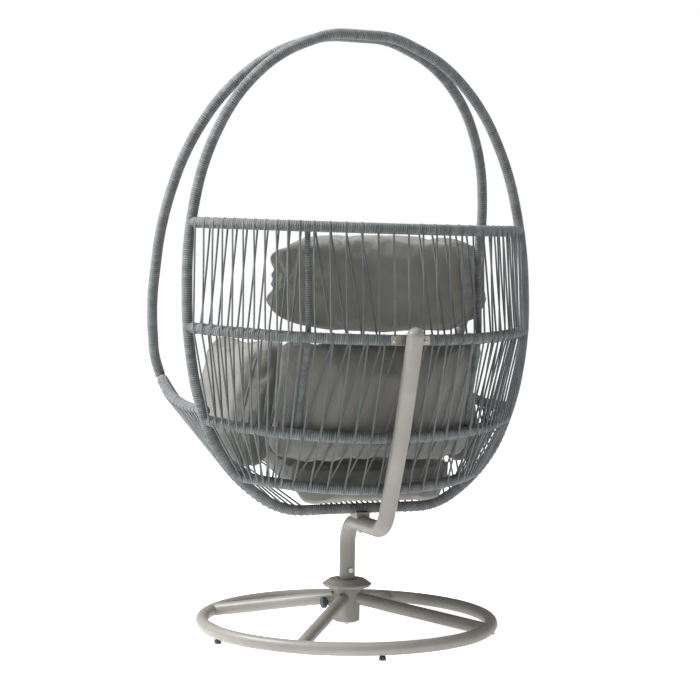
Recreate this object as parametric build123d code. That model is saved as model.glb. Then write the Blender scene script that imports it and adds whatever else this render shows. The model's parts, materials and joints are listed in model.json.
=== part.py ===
from build123d import *
from math import asin, atan2, cos, degrees, pi, radians, sin, sqrt, tan
import os

# Swivel egg chair on a round floor base, in millimetres.
# Origin: the swivel axis at floor level. +Z up, the sitter faces -Y, the post stands at +Y.

# ---- driving dimensions: floor base ----
FOOT_HEIGHT = 11.0
FOOT_RADIUS = 9.0
FOOT_COUNT = 5
FIRST_FOOT_ANGLE = 9.5
RING_RADIUS = 384.0            # to the middle of the tube
RING_TUBE = 33.7               # outside diameter
TUBE_WALL = 2.0
SPOKE_COUNT = 4
FIRST_SPOKE_ANGLE = 50.7
SPOKE_INNER_Z = 87.0
SLEEVE_DIAMETER = 70.0
SLEEVE_BORE = 62.0
SLEEVE_BOTTOM = 27.0
SLEEVE_TOP = 118.0
FLANGE_DIAMETER = 131.0
FLANGE_THICKNESS = 20.0
FLANGE_BORE = 50.0
BUSH_LENGTH = 22.0
SPINDLE_DIAMETER = 38.0
RUNNING_CLEARANCE = 0.05       # radial

# ---- driving dimensions: locking knob ----
KNOB_ANGLE = -5.0              # about the swivel axis, from +X
KNOB_Z = 76.0
KNOB_DIAMETER = 30.0
KNOB_LENGTH = 13.0
KNOB_START = 57.0              # from the swivel axis
STUD_DIAMETER = 10.0
BOSS_DIAMETER = 20.0
BOSS_END = 50.0
PAD_LENGTH = 18.0
PAD_DIAMETER = 9.9
PAD_GAP = 1.5                  # pad to spindle with the knob slackened by one turn

# ---- driving dimensions: post ----
POST_TUBE = 42.4
POST_BEND = 65.0
POST_FOOT_Z = 126.0
POST_RUN_Z = 297.0             # middle of the run under the seat
POST_REAR_Y = 245.0            # corner of the rear bend
POST_KNEE = (351.0, 556.0)     # Y, Z of the gentle bend behind the basket
POST_TOP = (424.0, 797.0)
CAP_HEIGHT = 20.0
STUB_BOLT_Z = 163.0
RUN_BOLT_Y = 88.0               # under the foot of the back hoop

# ---- driving dimensions: basket frame ----
HOOP_TUBE = 22.0
HOOP_WRAP = 3.0                # thickness of the cord wound on a tube
RAIL_TUBE = 19.0
RAIL_WRAP = 2.5
RIB_ROD = 12.0
RIB_WRAP = 1.5
THIN_WALL = 1.5
HOOP_TOP_Z = 1568.0
HOOP_BOTTOM_Z = 336.0
HOOP_Y = 85.0                  # the back hoop's lower part
HOOP_TOP_Y = 63.0              # its upper part
HOOP_SHIFT_Z = (850.0, 1150.0)  # it eases from one to the other between these heights
FRONT_HOOP_TOP_Y = 16.0
FRONT_HOOP_TILT = 21.3         # degrees forward of vertical
FRONT_HOOP_REACH = 968.0       # from its top to its foot, along its own plane
# Eggs: half width, height above and below the widest level, power of the width above and below
BACK_EGG = (472.5, 668.0, 564.0, 2.2, 3.25)
FRONT_EGG = (471.0, 642.0, 620.0, 2.2, 2.65)
EGG_HEIGHT_POWER = 2.2
# Rails round the back: height at the ends, drop to the rear, Y of the rear
RAILS = {
    "top": (1070.0, 14.0, 362.0),
    "upper": (807.0, 23.0, 378.0),
    "lower": (573.0, 36.0, 300.0),
    "bottom": (430.0, 28.0, 240.0),
}
# Half of the seat rim, from the back hoop along the arm rail, round the elbow to the middle
SEAT_RIM = [
    (426.0, 85.0, 596.0),
    (430.0, -70.0, 596.0),
    (431.0, -210.0, 616.0),
    (424.0, -335.0, 666.0),
    (378.0, -360.0, 603.0),
    (296.0, -394.0, 515.0),
    (180.0, -427.0, 440.0),
    (0.0, -427.0, 440.0),
]
RIB_X = 240.0

# ---- driving dimensions: cushions ----
HOLLOW_RADIUS = 490.0          # room inside the ribs
SEAT_WIDTH = 464.0
BOLSTER = (104.0, 356.0, 338.0)
BOLSTER_PLACE = (290.0, -72.0, 612.0)

# ---- driving dimensions: strung cord ----
CORD = 5.0
CORD_GAP = 0.2                 # cord to the wound rail that it crosses
# Each bay: its rails, how many drops stand left of the ribs, between them and right of them, and
# whether the returning cord steps on (1) or back (-1) by one drop in each of those stretches
BAYS = {
    "top": ("top", "upper", (11, 13, 11), (-1, 1, 1)),
    "mid": ("upper", "lower", (12, 12, 12), (-1, -1, -1)),
    "low": ("lower", "bottom", (8, 12, 8), (-1, -1, -1)),
}
HOOP_MARGIN = 0.012             # share of a rail left free of drops beside the back hoop
SIDE_CORDS = 24
SEAT_CORDS = 16
BASKET_MIDDLE = (0.0, -100.0, 800.0)
# Shares of the rim's and the back hoop's half lengths where the first and last side cords stand
RIM_SPAN = (0.05, 0.765)
HOOP_SPAN = (0.71, 0.928)

# ---- driving dimensions: bracket ----
PLATE = (104.0, 4.0, 22.0)     # X, Y, Z
PLATE_HOLE_X = 42.0

RING_Z = FOOT_HEIGHT + RING_TUBE / 2
HOOP_OUTER = HOOP_TUBE / 2 + HOOP_WRAP
RAIL_OUTER = RAIL_TUBE / 2 + RAIL_WRAP
RIB_OUTER = RIB_ROD / 2 + RIB_WRAP


# ---- helpers ----
def rounded_path(points, share=0.48):
    """Straight runs joined by tangent arcs, each as large as its two runs allow."""
    corners = [Vector(*p) for p in points]
    edges = []
    start = corners[0]
    for before, corner, after in zip(corners, corners[1:], corners[2:]):
        back = before - corner
        ahead = after - corner
        reach = share * min(back.length, ahead.length)
        half = radians(back.get_angle(ahead)) / 2
        arc_start = corner + back.normalized() * reach
        arc_end = corner + ahead.normalized() * reach
        bisector = (back.normalized() + ahead.normalized()).normalized()
        middle = corner + bisector * (reach / cos(half) - reach * tan(half))
        edges.append(Edge.make_line(start, arc_start))
        edges.append(Edge.make_three_point_arc(arc_start, middle, arc_end))
        start = arc_end
    edges.append(Edge.make_line(start, corners[-1]))
    return Wire(edges)


def bent_path(points, radii):
    """Straight runs joined by bends of stated radii."""
    return FilletPolyline(*points, radius=radii).wire()


def tube_along(path, outer, inner=0.0):
    section = Circle(outer)
    if inner:
        section = section - Circle(inner)
    place = Plane(origin=path @ 0, z_dir=path % 0)
    return sweep(place * section, path=path)


def rod(start, end, radius, inner=0.0):
    start = Vector(*start)
    end = Vector(*end)
    section = Circle(radius)
    if inner:
        section = section - Circle(inner)
    return extrude(Plane(origin=start, z_dir=end - start) * section, (end - start).length)


def turned(profile):
    """Solid of revolution about Z from (radius, z) corners."""
    face = make_face(Polyline(*[(r, 0, z) for r, z in profile], close=True))
    return revolve(face, Axis.Z)


def about_z(angle, shape):
    return Rot(0, 0, angle) * shape


def whole(parts):
    """One node made of separate solids."""
    return Compound(children=[solid for part in parts for solid in part.solids()])


def mirrored_pair(half):
    return half + mirror(half, Plane.YZ)


# ---- basket curves ----
def egg_half_width(egg, drop):
    """Half width of an egg hoop at a drop below its top, measured in its own plane."""
    half_width, above, below, upper_power, lower_power = egg
    offset = (drop - above) / (above if drop < above else below)
    power = upper_power if drop < above else lower_power
    return half_width * max(0.0, 1 - abs(offset) ** EGG_HEIGHT_POWER) ** (1 / power)


def egg_points(egg, angles):
    """Points (half width, drop) on an egg hoop; the angle runs from 0 at the top to 180."""
    half_width, above, below, upper_power, lower_power = egg
    points = []
    for angle in angles:
        power = upper_power if angle <= 90 else lower_power
        height = above if angle <= 90 else -below
        across = half_width * sin(radians(angle)) ** (2 / power)
        along = height * abs(cos(radians(angle))) ** (2 / EGG_HEIGHT_POWER)
        points.append((across, above - along))
    return points


def hoop_y(z):
    """Y of the back hoop, easing from its lower to its upper part."""
    low, high = HOOP_SHIFT_Z
    share = min(1.0, max(0.0, (z - low) / (high - low)))
    return HOOP_Y + (HOOP_TOP_Y - HOOP_Y) * share * share * (3 - 2 * share)


def grown(points, centre_drop, factor):
    """Corner points pushed out so that the arcs between them follow the curve itself."""
    return [(x * factor, centre_drop + (drop - centre_drop) * factor) for x, drop in points]


HOOP_ANGLES = [9, 27, 45, 63, 81, 99, 117, 135, 150, 164]
FRONT_HOOP_ANGLES = [9, 27, 45, 63, 81, 99, 113]
CORNER_GROWTH = 1 / cos(radians(9))


def back_hoop_half():
    corners = grown(egg_points(BACK_EGG, HOOP_ANGLES), BACK_EGG[1], CORNER_GROWTH)
    points = [(0.0, HOOP_TOP_Y, HOOP_TOP_Z)]
    points += [(x, hoop_y(HOOP_TOP_Z - drop), HOOP_TOP_Z - drop) for x, drop in corners]
    points[1] = (points[1][0], points[1][1], HOOP_TOP_Z)
    points[-1] = (points[-1][0], points[-1][1], HOOP_BOTTOM_Z)
    points.append((0.0, HOOP_Y, HOOP_BOTTOM_Z))
    return rounded_path(points)


def front_hoop_half():
    lean = radians(FRONT_HOOP_TILT)
    flat = grown(egg_points(FRONT_EGG, FRONT_HOOP_ANGLES), FRONT_EGG[1], CORNER_GROWTH)
    flat[0] = (flat[0][0], 0.0)
    flat.append((egg_half_width(FRONT_EGG, FRONT_HOOP_REACH), FRONT_HOOP_REACH))
    flat.insert(0, (0.0, 0.0))
    return rounded_path([
        (x, FRONT_HOOP_TOP_Y - drop * sin(lean), HOOP_TOP_Z - drop * cos(lean))
        for x, drop in flat
    ])


def rail_ends(name):
    """Half width and Y where a rail meets the back hoop."""
    z_end = RAILS[name][0]
    return egg_half_width(BACK_EGG, HOOP_TOP_Z - z_end), hoop_y(z_end)


def rail_path(name):
    """Circular arc round the back in a plane that drops to the rear."""
    z_end, dip, rear_y = RAILS[name]
    half_width, y_end = rail_ends(name)
    return Wire([Edge.make_three_point_arc(
        (half_width, y_end, z_end), (0, rear_y, z_end - dip), (-half_width, y_end, z_end))])


RAIL_PATHS = {name: rail_path(name) for name in RAILS}
BACK_HOOP = back_hoop_half()
FRONT_HOOP = front_hoop_half()
RIM_HALF = rounded_path(SEAT_RIM)


# ---- floor base ----
def foot_angles():
    return [FIRST_FOOT_ANGLE + k * 360 / FOOT_COUNT for k in range(FOOT_COUNT)]


def ring_tube():
    ring = Pos(0, 0, RING_Z) * Torus(RING_RADIUS, RING_TUBE / 2)
    bore = Pos(0, 0, RING_Z) * Torus(RING_RADIUS, RING_TUBE / 2 - TUBE_WALL)
    ring = ring - bore
    for angle in foot_angles():
        ring = ring - about_z(angle, Pos(RING_RADIUS, 0, FOOT_HEIGHT) * Cylinder(3.0, 12))
    return ring


def spoke(angle):
    inner_end = (SLEEVE_DIAMETER / 2 - 4, 0, SPOKE_INNER_Z)
    outer_end = (RING_RADIUS, 0, RING_Z)
    tube = rod(inner_end, outer_end, RING_TUBE / 2 - 0.4, RING_TUBE / 2 - 0.4 - TUBE_WALL)
    tube = tube - Pos(0, 0, RING_Z) * Torus(RING_RADIUS, RING_TUBE / 2)
    tube = tube - Pos(0, 0, SLEEVE_TOP / 2) * Cylinder(SLEEVE_DIAMETER / 2, 2 * SLEEVE_TOP)
    largest = max(tube.solids(), key=lambda solid: solid.volume)
    return about_z(angle, largest)


def hub_sleeve():
    return turned([
        (SLEEVE_BORE / 2, SLEEVE_BOTTOM), (SLEEVE_DIAMETER / 2 - 1, SLEEVE_BOTTOM),
        (SLEEVE_DIAMETER / 2, SLEEVE_BOTTOM + 1), (SLEEVE_DIAMETER / 2, SLEEVE_TOP),
        (SLEEVE_BORE / 2, SLEEVE_TOP),
    ]) - knob_frame(rod((25, 0, 0), (40, 0, 0), STUD_DIAMETER / 2 + RUNNING_CLEARANCE))


def hub_flange():
    top = SLEEVE_TOP + FLANGE_THICKNESS
    rim = FLANGE_DIAMETER / 2
    return turned([
        (FLANGE_BORE / 2, SLEEVE_TOP), (rim - 5, SLEEVE_TOP), (rim, SLEEVE_TOP + 5),
        (rim, SLEEVE_TOP + 8), (rim - 18, top), (FLANGE_BORE / 2, top),
    ])


def upper_bush():
    """Flanged nylon bush; the post turns on its flange inside the hub flange."""
    bore = SPINDLE_DIAMETER / 2 + RUNNING_CLEARANCE
    return turned([
        (bore, SLEEVE_TOP - BUSH_LENGTH), (SLEEVE_BORE / 2, SLEEVE_TOP - BUSH_LENGTH),
        (SLEEVE_BORE / 2, SLEEVE_TOP), (FLANGE_BORE / 2, SLEEVE_TOP),
        (FLANGE_BORE / 2, POST_FOOT_Z - 0.3), (bore, POST_FOOT_Z - 0.3),
    ])


def lower_bush():
    bore = SPINDLE_DIAMETER / 2 + RUNNING_CLEARANCE
    return turned([
        (bore, SLEEVE_BOTTOM + 2), (SLEEVE_BORE / 2, SLEEVE_BOTTOM + 2),
        (SLEEVE_BORE / 2, SLEEVE_BOTTOM + 2 + BUSH_LENGTH), (bore, SLEEVE_BOTTOM + 2 + BUSH_LENGTH),
    ])


def foot_glides():
    """Glides with a stem in the ring's hole and a recess for the screw."""
    glide = turned([
        (1.6, 2.4), (4.0, 2.4), (4.0, 0.0), (FOOT_RADIUS - 1.5, 0.0), (FOOT_RADIUS, 1.5),
        (FOOT_RADIUS, 7.0), (FOOT_RADIUS - 2.0, FOOT_HEIGHT - 0.9), (3.0, FOOT_HEIGHT - 0.2),
        (3.0, FOOT_HEIGHT + 6), (1.6, FOOT_HEIGHT + 6),
    ])
    return whole([about_z(angle, Pos(RING_RADIUS, 0, 0) * glide) for angle in foot_angles()])


def foot_screws():
    screw = turned([
        (0, 0.6), (3.4, 0.6), (3.4, 2.4), (1.6, 2.4), (1.6, FOOT_HEIGHT + 9), (0, FOOT_HEIGHT + 10),
    ])
    return whole([about_z(angle, Pos(RING_RADIUS, 0, 0) * screw) for angle in foot_angles()])


# ---- locking knob, drawn along +X from the swivel axis and then turned into place ----
def knob_frame(shape):
    return about_z(KNOB_ANGLE, Pos(0, 0, KNOB_Z) * shape)


def knob_boss():
    boss = rod((30, 0, 0), (BOSS_END, 0, 0), BOSS_DIAMETER / 2, STUD_DIAMETER / 2 + RUNNING_CLEARANCE)
    boss = knob_frame(boss - Cylinder(SLEEVE_DIAMETER / 2, 60))
    spoke_bed = rod((SLEEVE_DIAMETER / 2 - 4, 0, SPOKE_INNER_Z), (RING_RADIUS, 0, RING_Z), RING_TUBE / 2)
    return boss - about_z(FIRST_SPOKE_ANGLE - 90, spoke_bed)


def pressure_pad():
    """Brass pad ahead of the stud; it slides with the stud and doesn't turn."""
    start = SPINDLE_DIAMETER / 2 + PAD_GAP
    return knob_frame(rod((start, 0, 0), (start + PAD_LENGTH, 0, 0), PAD_DIAMETER / 2))


def lock_stud():
    start = SPINDLE_DIAMETER / 2 + PAD_GAP + PAD_LENGTH + 0.05
    return knob_frame(rod((start, 0, 0), (KNOB_START + 9, 0, 0), STUD_DIAMETER / 2))


def lock_knob():
    body = rod((KNOB_START, 0, 0), (KNOB_START + KNOB_LENGTH, 0, 0), KNOB_DIAMETER / 2)
    body = chamfer(body.edges().filter_by(GeomType.CIRCLE), 1.5)
    flute_count = 18
    for k in range(flute_count):
        angle = 2 * pi * k / flute_count
        y = (KNOB_DIAMETER / 2 + 0.6) * cos(angle)
        z = (KNOB_DIAMETER / 2 + 0.6) * sin(angle)
        body = body - rod((KNOB_START - 1, y, z), (KNOB_START + KNOB_LENGTH + 1, y, z), 1.9)
    neck = rod((KNOB_START - 4, 0, 0), (KNOB_START, 0, 0), 8.0)
    body = body + neck
    return knob_frame(body - rod((KNOB_START - 5, 0, 0), (KNOB_START + 9, 0, 0), STUD_DIAMETER / 2))


# ---- swivel post ----
def spindle():
    radius = SPINDLE_DIAMETER / 2
    top = STUB_BOLT_Z + 25
    shaft = turned([
        (4.2, SLEEVE_BOTTOM), (radius - 1, SLEEVE_BOTTOM), (radius, SLEEVE_BOTTOM + 1),
        (radius, top - 1), (radius - 1, top), (13.0, top), (13.0, SLEEVE_BOTTOM + 40),
        (4.2, SLEEVE_BOTTOM + 40),
    ])
    return shaft - stub_bolt_bore(4.1)


def stub_bolt_bore(radius):
    return rod((0, -40, STUB_BOLT_Z), (0, 40, STUB_BOLT_Z), radius)


def retaining_washer():
    return turned([
        (4.3, SLEEVE_BOTTOM - 4), (26.0, SLEEVE_BOTTOM - 4), (26.0, SLEEVE_BOTTOM - 0.3),
        (4.3, SLEEVE_BOTTOM - 0.3),
    ])


def retaining_bolt():
    head = Pos(0, 0, SLEEVE_BOTTOM - 7.1) * extrude(RegularPolygon(7.5, 6), 6, both=False)
    head = Pos(0, 0, -3.2) * head
    shank = Pos(0, 0, SLEEVE_BOTTOM - 4.4) * extrude(Circle(4.0), 40)
    return head + shank


def post_path():
    points = [
        (0, 0, POST_FOOT_Z), (0, 0, POST_RUN_Z), (0, POST_REAR_Y, POST_RUN_Z),
        (0, *POST_KNEE), (0, *POST_TOP),
    ]
    return bent_path(points, [POST_BEND, POST_BEND, 400.0])


POST_PATH = post_path()


def s_post():
    tube = tube_along(POST_PATH, POST_TUBE / 2, SPINDLE_DIAMETER / 2 + 0.2)
    tube = tube - stub_bolt_bore(4.1)
    return tube - run_bolt_bore(4.1)


def post_cap():
    """Domed plug on the post's upper end."""
    radius = POST_TUBE / 2
    bulge = (radius * radius + CAP_HEIGHT * CAP_HEIGHT) / (2 * CAP_HEIGHT)
    dome = Pos(0, 0, CAP_HEIGHT - bulge) * Sphere(bulge)
    dome = dome & (Pos(0, 0, CAP_HEIGHT / 2) * Cylinder(radius, CAP_HEIGHT))
    plug = Pos(0, 0, -9) * Cylinder(SPINDLE_DIAMETER / 2, 18)
    return Plane(origin=POST_PATH @ 1, z_dir=POST_PATH % 1) * (dome + plug)



def stub_bolt():
    """Through bolt across the post and the spindle, its head to the rear."""
    head = extrude(Plane(origin=(0, POST_TUBE / 2 + 0.1, STUB_BOLT_Z), z_dir=(0, 1, 0)) * RegularPolygon(7.0, 6), 5)
    return head + rod((0, -31, STUB_BOLT_Z), (0, POST_TUBE / 2 + 0.2, STUB_BOLT_Z), 4.0)


def stub_nut():
    nut = extrude(
        Plane(origin=(0, -POST_TUBE / 2 - 0.1, STUB_BOLT_Z), z_dir=(0, -1, 0))
        * (RegularPolygon(7.0, 6) - Circle(4.0)), 6.5)
    return nut


def run_bolt_bore(radius):
    return rod((0, RUN_BOLT_Y, POST_RUN_Z - 40), (0, RUN_BOLT_Y, HOOP_BOTTOM_Z), radius)


def run_bolt():
    """Upright bolt from below, through the post's run and the saddle into the hoop's foot."""
    face = POST_RUN_Z - POST_TUBE / 2 - 0.1
    head = Pos(0, RUN_BOLT_Y, face - 5.5) * extrude(RegularPolygon(6.5, 6), 5.5)
    return head + rod((0, RUN_BOLT_Y, face - 0.1), (0, RUN_BOLT_Y, HOOP_BOTTOM_Z + 4), 4.0)


def run_nut():
    """Nut held inside the tube of the back hoop."""
    low = HOOP_BOTTOM_Z - 4.4
    return Pos(0, RUN_BOLT_Y, low) * extrude(RegularPolygon(5.8, 6) - Circle(4.0), 6.5)


# ---- basket frame ----
def back_hoop():
    hoop = mirrored_pair(tube_along(BACK_HOOP, HOOP_TUBE / 2, HOOP_TUBE / 2 - THIN_WALL))
    return hoop - run_bolt_bore(4.1)


def back_hoop_wrap():
    return mirrored_pair(tube_along(BACK_HOOP, HOOP_OUTER, HOOP_TUBE / 2)) - run_bolt_bore(4.1)


def front_hoop():
    return mirrored_pair(tube_along(FRONT_HOOP, HOOP_TUBE / 2, HOOP_TUBE / 2 - THIN_WALL))


def front_hoop_wrap():
    return mirrored_pair(tube_along(FRONT_HOOP, HOOP_OUTER, HOOP_TUBE / 2))


def seat_rim():
    return mirrored_pair(tube_along(RIM_HALF, HOOP_TUBE / 2, HOOP_TUBE / 2 - THIN_WALL))


def seat_rim_wrap():
    return mirrored_pair(tube_along(RIM_HALF, HOOP_OUTER, HOOP_TUBE / 2))


def rail(name):
    return tube_along(RAIL_PATHS[name], RAIL_TUBE / 2, RAIL_TUBE / 2 - THIN_WALL)


def rail_wrap(name):
    return tube_along(RAIL_PATHS[name], RAIL_OUTER, RAIL_TUBE / 2)


def rail_point(name, x):
    """Middle of a rail at a given X, with the level direction out of the basket there."""
    z_end, dip, rear_y = RAILS[name]
    half_width, y_end = rail_ends(name)
    depth = rear_y - y_end
    radius = (half_width ** 2 + depth ** 2) / (2 * depth)
    rise = sqrt(radius ** 2 - x ** 2) - (radius - depth)
    point = Vector(x, y_end + rise, z_end - dip * rise / depth)
    outward = Vector(x, rise + radius - depth, 0).normalized()
    return point, outward


def rib_points(x):
    """A rib stands on the inner side of the top, upper and lower rails."""
    points = []
    for name in ("top", "upper", "lower"):
        point, outward = rail_point(name, x)
        points.append(point - outward * (RAIL_OUTER + RIB_OUTER + CORD_GAP))
    return points


def rib(x, outer, inner=0.0):
    top, middle, low = rib_points(x)
    return tube_along(bent_path([top, middle, low], [500.0]), outer, inner)


# ---- strung cord ----
def outward_at(path, share):
    """Level direction out of the basket, square to the rail."""
    side = (path % share).cross(Vector(0, 0, 1)).normalized()
    away = (path @ share) - Vector(*BASKET_MIDDLE)
    return side if side.dot(away) > 0 else side * -1


def strung_cord(upper, lower, outward, reach, side):
    """Straight cord on the crossing tangent of two rails; side 1 leaves the upper rail outside."""
    run = lower - upper
    ahead = run.normalized()
    square = (outward - ahead * outward.dot(ahead)).normalized()
    lean = asin(2 * reach / run.length)
    offset = (square * cos(lean) + ahead * (side * sin(lean))) * (reach * side)
    return rod(upper + offset, lower - offset, CORD / 2)


def under_plate(x):
    return abs(x) < PLATE[0] / 2 + CORD


def share_at_x(path, x):
    """Share of a rail's length, from its +X end, at a given X."""
    low = 0.0
    high = 1.0
    for _ in range(30):
        middle = (low + high) / 2
        if (path @ middle).X > x:
            low = middle
        else:
            high = middle
    return low


def drop_shares(path, counts):
    """Shares of a rail's length where cords drop, evenly in each stretch that the ribs part."""
    bounds = [HOOP_MARGIN, share_at_x(path, RIB_X), share_at_x(path, -RIB_X), 1 - HOOP_MARGIN]
    shares = []
    for low, high, count in zip(bounds, bounds[1:], counts):
        shares += [low + (high - low) * (k + 0.5) / count for k in range(count)]
    return shares


def bay_cords(bay):
    """Figure-of-eight winding of one bay, as (X at the upper rail, cord) pairs.

    No cord passes outside the upper rail where the bracket plate lies.
    """
    upper_name, lower_name, counts, steps = BAYS[bay]
    upper_path = RAIL_PATHS[upper_name]
    lower_path = RAIL_PATHS[lower_name]
    upper_shares = drop_shares(upper_path, counts)
    lower_shares = drop_shares(lower_path, counts)
    reach = RAIL_OUTER + CORD / 2 + CORD_GAP
    cords = []
    first = 0
    for count, step in zip(counts, steps):
        for k in range(first, first + count):
            upper = upper_path @ upper_shares[k]
            outward = outward_at(upper_path, upper_shares[k])
            lower = lower_path @ lower_shares[k]
            if not (upper_name == "upper" and under_plate(upper.X)):
                cords.append((upper.X, strung_cord(upper, lower, outward, reach, 1)))
            if not first <= k + step < first + count:
                continue
            following = lower_path @ lower_shares[k + step]
            if not (lower_name == "upper" and under_plate(following.X)):
                cords.append((upper.X, strung_cord(upper, following, outward, reach, -1)))
        first += count
    return cords


def weave_panel(cords, low_x, high_x):
    return whole([cord for x, cord in cords if low_x < x <= high_x])


def floor_cord(rim_share, hoop_share, outside):
    """Straight cord from the rim to the back hoop, lying on one side of both tubes."""
    reach = (HOOP_OUTER + CORD / 2 + CORD_GAP) * outside
    rim = RIM_HALF @ rim_share
    hoop = BACK_HOOP @ hoop_share
    ahead = hoop - rim
    away = (rim + hoop) * 0.5 - Vector(*BASKET_MIDDLE)
    ends = []
    for point, along in ((rim, RIM_HALF % rim_share), (hoop, BACK_HOOP % hoop_share)):
        normal = ahead.cross(along).normalized()
        if normal.dot(away) < 0:
            normal = normal * -1
        ends.append(point + normal * reach)
    return rod(ends[0], ends[1], CORD / 2)


def side_fan(sign):
    """Cords from the arm rail and the rim's corner to the back hoop, outside both tubes."""
    cords = []
    for k in range(SIDE_CORDS):
        share = k / (SIDE_CORDS - 1)
        rim_share = RIM_SPAN[0] + (RIM_SPAN[1] - RIM_SPAN[0]) * share
        hoop_share = HOOP_SPAN[0] + (HOOP_SPAN[1] - HOOP_SPAN[0]) * share
        cords.append(floor_cord(rim_share, hoop_share, 1))
    fan = whole(cords)
    return fan if sign > 0 else mirror(fan, Plane.YZ)


def seat_webbing():
    """Cords from the front of the rim back to the foot of the back hoop, over both tubes."""
    half_count = SEAT_CORDS // 2
    cords = []
    for k in range(half_count):
        share = (k + 0.5) / half_count
        rim_share = 1 - (1 - RIM_SPAN[1]) * share * 0.9
        hoop_share = 1 - (1 - HOOP_SPAN[1]) * share * 0.9
        cords.append(floor_cord(rim_share, hoop_share, -1))
    half = whole(cords)
    return whole([half, mirror(half, Plane.YZ)])


# ---- bracket and saddle ----
def bracket_place(thickness):
    point, outward = rail_point("upper", 0)
    return point + outward * (RAIL_OUTER + thickness / 2 + CORD_GAP)


def bracket_plate():
    centre = bracket_place(PLATE[1])
    plate = Box(*PLATE)
    plate = fillet(plate.edges().filter_by(Axis.Y), 4.0)
    plate = Pos(*centre) * plate
    for x in (-PLATE_HOLE_X, PLATE_HOLE_X):
        plate = plate - rod((x, centre.Y - 5, centre.Z), (x, centre.Y + 5, centre.Z), 3.3)
    return plate


def bracket_bolts():
    """Button-headed bolts through the plate into the rail."""
    centre = bracket_place(PLATE[1])
    bolts = []
    for x in (-PLATE_HOLE_X, PLATE_HOLE_X):
        face_y = centre.Y + PLATE[1] / 2 + 0.1
        head = extrude(Plane(origin=(x, face_y, centre.Z), z_dir=(0, 1, 0)) * Circle(6.0), 3.5)
        head = chamfer(head.edges().group_by(Axis.Y)[-1], 1.2)
        head = head - extrude(
            Plane(origin=(x, face_y + 1.5, centre.Z), z_dir=(0, 1, 0)) * RegularPolygon(2.3, 6), 3)
        bolts.append(head + rod((x, face_y - 20, centre.Z), (x, face_y + 0.5, centre.Z), 3.0))
    return whole(bolts)


def saddle():
    """Steel seat between the post's run and the foot of the back hoop."""
    top = POST_RUN_Z + POST_TUBE / 2
    block = Pos(0, HOOP_Y, top + 1) * Box(36, 46, 16)
    block = block - rod((0, 0, POST_RUN_Z), (0, 180, POST_RUN_Z), POST_TUBE / 2 + 0.1)
    hoop = rod((-60, HOOP_Y, HOOP_BOTTOM_Z), (60, HOOP_Y, HOOP_BOTTOM_Z), HOOP_OUTER + 0.1)
    block = block - hoop - run_bolt_bore(4.2)
    return max(block.solids(), key=lambda solid: solid.volume)


# ---- cushions: plain closed solids ----
def pillow(width, depth, height, edge):
    body = Box(width, depth, height)
    return fillet(body.edges(), edge)


def weave_hollow(low, high):
    """Leaning cylinder inside the ribs; low and high are (Y, Z) points on its axis."""
    lean = Vector(0, high[0] - low[0], high[1] - low[1]).normalized()
    start = Vector(0, low[0], low[1]) - lean * 600
    return extrude(Plane(origin=start, z_dir=lean) * Circle(HOLLOW_RADIUS), 1800)


def seat_cushion():
    """Slopes down to the rear, its sides rising, and sags behind the foot of the back hoop."""
    half = SEAT_WIDTH / 2
    side = Polyline(
        (-392, 489), (58, 386), (108, 384), (116, 366), (188, 366), (200, 380), (200, 452),
        (60, 470), (-392, 576), close=True)
    slab = extrude(Plane.YZ * make_face(side), half, both=True)
    hull = Polyline(
        (-half, 600), (-half, 431), (40 - half, 386), (half - 40, 386), (half, 431), (half, 600),
        close=True)
    hull = Plane.XZ.offset(-58) * make_face(hull)
    ahead = Vector(0, -450, 103)
    slab = slab & (extrude(hull, 520, dir=ahead) + extrude(hull, 160, dir=ahead * -1))
    plan = extrude(Pos(8, -201.7, 300) * Circle(418), 400)
    return Pos(-8, 0, 0) * (slab & plan)


def back_cushion():
    slab = Pos(0, 208, 626) * Rot(-17, 0, 0) * pillow(572, 128, 314, 40)
    return slab & weave_hollow((-246, 550), (-171, 793))


def head_cushion():
    slab = Pos(25, 262, 925) * Rot(-3, 0, 0) * pillow(610, 146, 234, 45)
    return slab & weave_hollow((-150, 793), (-164, 1066))


def arm_bolster(sign):
    """Leans in at its top; the outer side of its foot is cut along the slope of the side cords."""
    body = Pos(*BOLSTER_PLACE) * Rot(0, 0, 7) * Rot(0, -14, 0) * pillow(*BOLSTER, 42)
    side_slope = Plane(origin=(380, -42, 547), z_dir=(0.778, -0.158, -0.609))
    body = body & (side_slope * Pos(0, 0, -400) * Box(1600, 1600, 800))
    return body if sign > 0 else mirror(body, Plane.YZ)


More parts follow.
